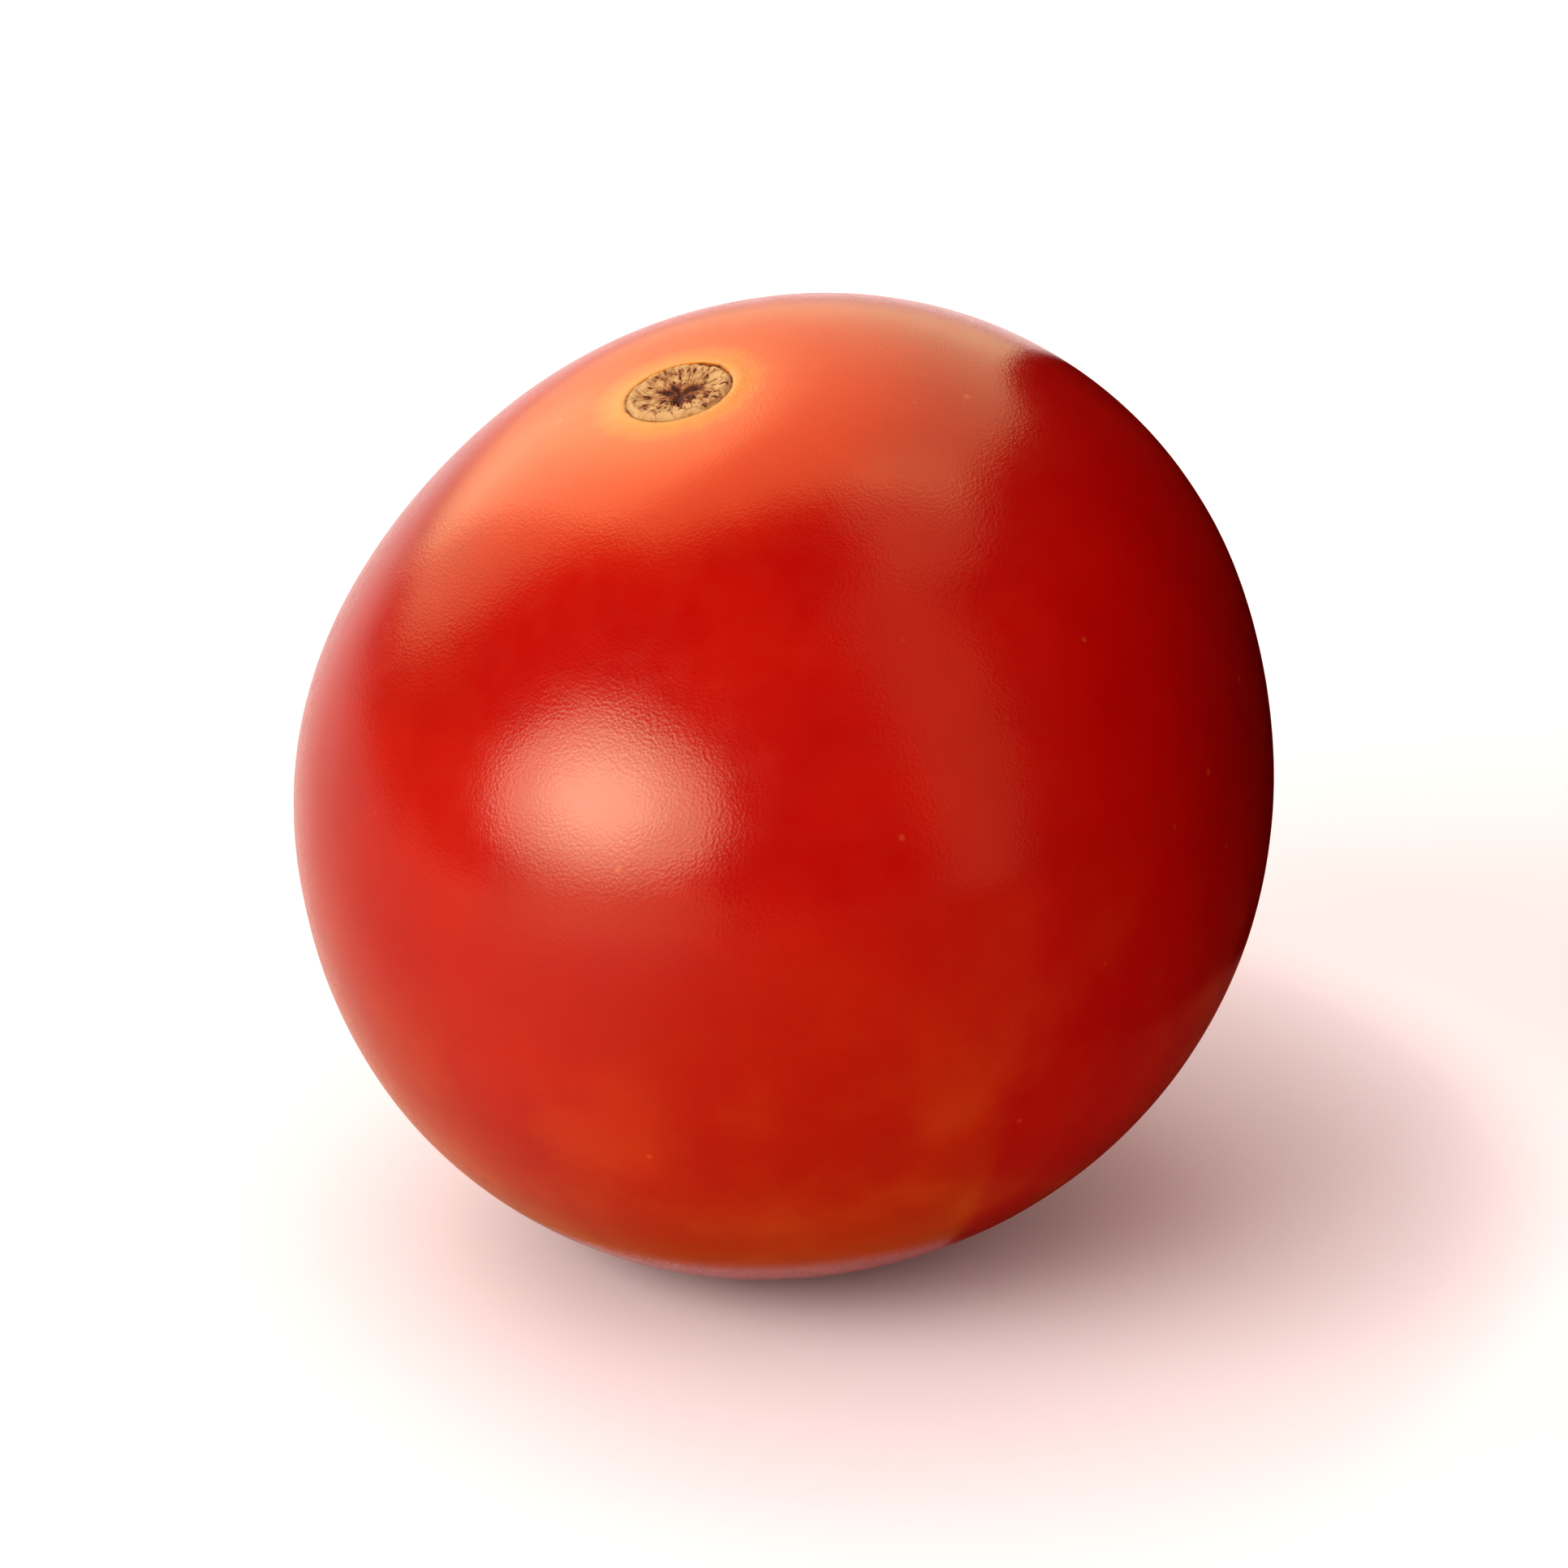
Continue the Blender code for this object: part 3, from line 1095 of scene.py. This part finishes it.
@dataclass
class CherryTomato:
    """The whole fruit: its skin, its stem scar and its blossom tip."""

    skin: Skin = field(default_factory=Skin)
    scar: CorkButton = field(
        default_factory=lambda: CorkButton(
            name="stem_scar",
            end=End.STEM,
            radius=0.00178,
            thickness=0.00025,
            dish=0.00008,
            rim_height=0.00006,
            rim_width=0.13,
            wobble=0.045,
            ridge_height=0.00004,
            ridge_count=2.7,
            crack_depth=0.00006,
            star_depth=0.00011,
            star_arms=3.0,
            star_start=radians(25),
            star_reach=0.56,
            seed=2.0,
            flake_count=150,
            flake_length=0.00026,
        )
    )
    tip: CorkButton = field(
        default_factory=lambda: CorkButton(
            name="blossom_tip",
            end=End.BLOSSOM,
            radius=0.00042,
            thickness=0.00012,
            dish=0.00004,
            rim_height=0.00003,
            rim_width=0.2,
            wobble=0.12,
            ridge_height=0.00002,
            ridge_count=1.6,
            crack_depth=0.00002,
            star_depth=0.00005,
            star_arms=5.0,
            star_start=0.0,
            star_reach=0.55,
            seed=9.0,
            flake_count=8,
            flake_length=0.00014,
            around_steps=72,
            rings=36,
            finish=DryCork(
                name="dry_blossom_tip", pale="B98F5C", straw="96693A", brown="5A381F", dark="2A170D"
            ),
        )
    )

    def build(self) -> list[bpy.types.Object]:
        """Builds the pieces, sets them on the rest spot and ties them to the solid.

        Returns:
            The pieces.
        """
        skin, scar, tip = self.skin.build(), self.scar.build(), self.tip.build()
        stance = self.skin.stance()
        self.scar.seat(scar, self.skin.seat_height(), stance)
        self.tip.seat(tip, self.skin.tip_end() - 0.5 * self.tip.thickness, stance)
        self.rest([skin, scar, tip])
        for piece, slot in ((skin, SKIN_SLOT), (scar, CORK_SLOT), (tip, CORK_SLOT)):
            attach(piece, "root")
        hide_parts(NODE)
        return [skin, scar, tip]

    def rest(self, pieces: list[bpy.types.Object]) -> None:
        """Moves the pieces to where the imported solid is, by their first piece's box.

        Args:
            pieces: The skin, then what sits on it.
        """
        low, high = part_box(NODE)
        points = [vert.co for vert in pieces[0].data.vertices]
        least = Vector([min(point[axis] for point in points) for axis in range(3)])
        most = Vector([max(point[axis] for point in points) for axis in range(3)])
        shift = (low + high) / 2 - (least + most) / 2
        shift.z = low.z - least.z
        for piece in pieces:
            piece.data.transform(Matrix.Translation(shift))


# ------------------------------------------------------------------------ the studio


class Seen(Enum):
    """Which part of the fruit's look a light or a card changes."""

    SHEEN = "its shine"
    MATT = "its matt colour, and the floor's"


class Outline(Enum):
    """The outline of a light."""

    SQUARE = "RECTANGLE"
    ROUND = "ELLIPSE"


def show_in(thing: bpy.types.Object, seen: Seen) -> None:
    """Lets a light or a card change only one part of the fruit's look.

    Args:
        thing: The light or the card.
        seen: The part that it changes.
    """
    thing.visible_diffuse = seen is Seen.MATT
    thing.visible_glossy = seen is Seen.SHEEN


@dataclass(frozen=True)
class Softbox:
    """A soft light that looks at the fruit.

    Attributes:
        name: What it lights.
        seen: Which part of the fruit's look it changes.
        bearing: Where it stands, in degrees from the camera's side, clockwise from above.
        rise: How high it stands, in degrees above the floor.
        far: Its distance from the fruit.
        width: Its width.
        height: Its height.
        power: Its power in watts.
        colour: Its colour.
        outline: Its outline.
    """

    name: str
    seen: Seen
    bearing: float
    rise: float
    far: float
    width: float
    height: float
    power: float
    colour: str
    outline: Outline = Outline.SQUARE

    def place(self, target: Vector) -> None:
        """Hangs the light.

        Args:
            target: The point that it looks at.
        """
        light = bpy.data.lights.new(self.name, "AREA")
        light.shape = self.outline.value
        light.size = self.width
        light.size_y = self.height
        light.energy = self.power
        light.color = linear(self.colour)[:3]
        lamp = new_object(self.name, light)
        bearing, rise = radians(self.bearing), radians(self.rise)
        way = Vector((-sin(bearing) * cos(rise), -cos(bearing) * cos(rise), sin(rise)))
        lamp.location = target + way * self.far
        lamp.rotation_euler = way.to_track_quat("Z", "Y").to_euler()
        show_in(lamp, self.seen)


@dataclass(frozen=True)
class Flag:
    """A curved card near the fruit that shades and tints it.

    It stands up, or lies on the floor where its two edges are equally high. On the floor its
    colour is painted shade of the floor, seen only in the fruit's shine; towards the key's
    bearing its outer part takes the floor's own colour, where the key lights the floor.

    Attributes:
        name: Which card it is.
        seen: Which part of the fruit's look it changes.
        start: Where it begins, in degrees from the camera's side, clockwise from above.
        end: Where it ends.
        fade: How many degrees it takes to darken from the floor's colour to its own.
        near: How far its lower edge is from the fruit's middle.
        low: The height of its lower edge.
        far: How far its upper edge is from the fruit's middle.
        high: The height of its upper edge, which rounds down to the lower at both ends.
        colour: Its colour by the fruit; further off it darkens, as painted shade of the floor that it
            covers.
        turn_step: Degrees between its corners.
        rows: How many rows of faces it has.
        rounding: How square its upper edge's ends are.
        gap_bearing: Where its outer part takes the floor's colour, towards the key light.
        gap_width: How wide that is, in degrees.
        gap_rise: How soon it opens on the way out.
    """

    name: str
    seen: Seen
    start: int
    end: int
    fade: int
    near: float
    low: float
    far: float
    high: float
    colour: str
    turn_step: int = 2
    rows: int = 12
    rounding: int = 6
    gap_bearing: float = 45
    gap_width: float = 32
    gap_rise: float = 1.5

    def shade(self, step: float, turn: float, reach: float) -> Vector:
        """Mixes the card's colour with the floor's.

        Args:
            step: How far out on the card, 0 to 1.
            turn: The bearing in degrees.
            reach: The distance from the fruit's middle.

        Returns:
            The linear colour, with alpha.
        """
        dark = min(1.0, (self.start - turn) / self.fade) if self.fade else 1.0
        # Towards the key's bearing the outer part takes the floor's own colour: no painted shade where
        # the key lights the floor.
        gap = exp(-(((turn - self.gap_bearing) / self.gap_width) ** 2))
        dark *= 1.0 - min(1.0, self.gap_rise * step) * gap
        # Further off the card darkens: painted shade of the floor, seen only in the shine.
        own = Vector(linear(self.colour)) * (self.near / reach) ** 0.5
        return Vector(linear(FLOOR_COLOUR)).lerp(own, dark)

    def place(self, target: Vector) -> None:
        """Stands the card up.

        Args:
            target: The middle of the fruit.
        """
        turns = range(self.start, self.end - 1, -self.turn_step)
        corners, shades = [], []
        for step in (row / self.rows for row in range(self.rows + 1)):
            reach = self.near * (self.far / self.near) ** step
            for turn in turns:
                across = 2 * (self.start - turn) / (self.start - self.end) - 1
                rise = (self.high - self.low) * step * (1 - across**self.rounding) ** 0.5
                east, south = sin(radians(turn)) * reach, cos(radians(turn)) * reach
                corners.append((target.x - east, target.y - south, self.low + rise))
                shades.append(self.shade(step, turn, reach))
        row = len(turns)
        faces = [
            (at, at + 1, at + row + 1, at + row)
            for at in range(row * self.rows)
            if (at + 1) % row
        ]
        mesh = bpy.data.meshes.new(self.name)
        mesh.from_pydata(corners, [], faces)
        shade = mesh.color_attributes.new(SHADE, "FLOAT_COLOR", "POINT")
        for at, colour in enumerate(shades):
            shade.data[at].color = colour
        mesh.materials.append(CardCloth(self.name + "_cloth").make())
        card = new_object(self.name, mesh)
        card.visible_camera = False
        card.visible_shadow = False
        show_in(card, self.seen)


@dataclass
class Studio:
    """The floor, the lights and the camera."""

    floor_span: float = 3.0
    camera_rise: float = radians(25)
    camera_far: float = 0.55
    camera_clip: float = 0.01
    view_width: float = 0.051
    sensor: float = 36.0
    room_colour: str = "FFE4E5"
    room_light: float = 1.0
    look: str = "Medium High Contrast"  # keeps the reds deep
    flags: tuple[Flag, ...] = (
        Flag("right_flag", Seen.SHEEN, -42, -158, 0, 0.024, 0.0, 0.024, 0.041, "1A0605"),
        # right_flag_foot and front_card lie on the floor: their colours are painted shade of the floor,
        # seen only in the fruit's shine.
        Flag("right_flag_foot", Seen.SHEEN, -42, -158, 0, 0.008, 0.0008, 0.024, 0.0008, "985848"),
        Flag("right_shade", Seen.MATT, -56, -152, 0, 0.026, 0.008, 0.026, 0.042, "840904"),
        Flag("front_card", Seen.SHEEN, 190, -70, 165, 0.009, 0.0005, 0.6, 0.0005, "CCA048"),
    )
    lights: tuple[Softbox, ...] = (
        Softbox("back_sheen", Seen.SHEEN, 171, 41, 0.36, 0.50, 0.58, 1.45, "FFF0C6"),
        Softbox(
            "back_left_sheen", Seen.SHEEN, 139, 32, 0.37, 0.32, 0.36, 0.48, "FFDFB8", Outline.ROUND
        ),
        Softbox("key_edge", Seen.SHEEN, 50, 23.2, 0.25, 0.30, 0.19, 0.14, "EAF1FF", Outline.ROUND),
        Softbox(
            "key_sheen", Seen.SHEEN, 50, 25.2, 0.25, 0.26, 0.155, 0.445, "EAF1FF", Outline.ROUND
        ),
        Softbox("key_core", Seen.SHEEN, 50.5, 26.2, 0.25, 0.13, 0.09, 0.16, "EAF1FF", Outline.ROUND),
        Softbox("key_foot", Seen.SHEEN, 40, 3, 0.30, 0.32, 0.07, 0.06, "FFF0D8", Outline.ROUND),
        Softbox("right_strip", Seen.SHEEN, -50, 36, 0.50, 0.23, 0.86, 0.36, "FFF0D8"),
        Softbox("top_sheen", Seen.SHEEN, -115, 68, 0.45, 0.26, 0.22, 0.13, "FFF0D8", Outline.ROUND),
        Softbox("left_sheen", Seen.SHEEN, 108, 12, 0.40, 0.38, 0.20, 0.05, "FFCF90"),
        Softbox("back_softbox", Seen.MATT, 177, 42, 0.39, 0.54, 0.60, 0.75, "FFFDFA"),
        Softbox("key_softbox", Seen.MATT, 50, 26, 0.28, 0.22, 0.15, 0.52, "FFFDFA"),
        Softbox("right_softbox", Seen.MATT, -50, 31, 0.54, 0.23, 0.72, 0.15, "FFFDFA"),
        Softbox("front_softbox", Seen.MATT, -4, 44, 0.62, 0.50, 0.50, 0.34, "FFFDFA"),
    )

    def floor(self) -> None:
        """Lays a pale matt floor."""
        half = self.floor_span / 2
        corners = [(-half, -half, 0), (half, -half, 0), (half, half, 0), (-half, half, 0)]
        mesh = bpy.data.meshes.new("studio_floor")
        mesh.from_pydata(corners, [], [(0, 1, 2, 3)])
        mesh.materials.append(StudioPaper().make())
        floor = new_object("studio_floor", mesh)

    def world(self) -> None:
        """Fills the room with even light, which the fruit's shine doesn't show."""
        world = bpy.data.worlds.new("studio")
        bpy.context.scene.world = world
        world.use_nodes = True
        background = world.node_tree.nodes["Background"]
        background.inputs["Color"].default_value = linear(self.room_colour)
        background.inputs["Strength"].default_value = self.room_light
        world.cycles_visibility.glossy = False

    def camera(self, target: Vector) -> None:
        """Sets up the camera.

        Args:
            target: The point that it looks at.
        """
        lens = bpy.data.cameras.new("studio_camera")
        lens.sensor_width = self.sensor
        lens.lens = self.sensor * self.camera_far / self.view_width
        lens.clip_start = self.camera_clip
        camera = new_object("studio_camera", lens)
        rise = self.camera_rise
        camera.location = target + Vector((0, -cos(rise), sin(rise))) * self.camera_far
        camera.rotation_euler = Euler((pi / 2 - rise, 0, 0))
        bpy.context.scene.camera = camera

    def build(self, target: Vector) -> None:
        """Builds the studio round a point.

        Args:
            target: The middle of the fruit.
        """
        self.floor()
        self.world()
        for thing in (*self.flags, *self.lights):
            thing.place(target)
        self.camera(target)
        view = bpy.context.scene.view_settings
        view.view_transform = "Standard"
        view.look = self.look


def main() -> None:
    """Builds the fruit and its studio, and reports each piece."""
    logging.basicConfig(level=logging.INFO, format="%(name)s: %(message)s")
    pieces = CherryTomato().build()
    low, high = (Vector(corner) for corner in CAD_BOX)
    Studio().build((low + high) / 2)
    for piece in pieces:
        piece.data.calc_loop_triangles()
        log.info("%s: %d triangles", piece.name, len(piece.data.loop_triangles))


if __name__ == "__main__":
    main()
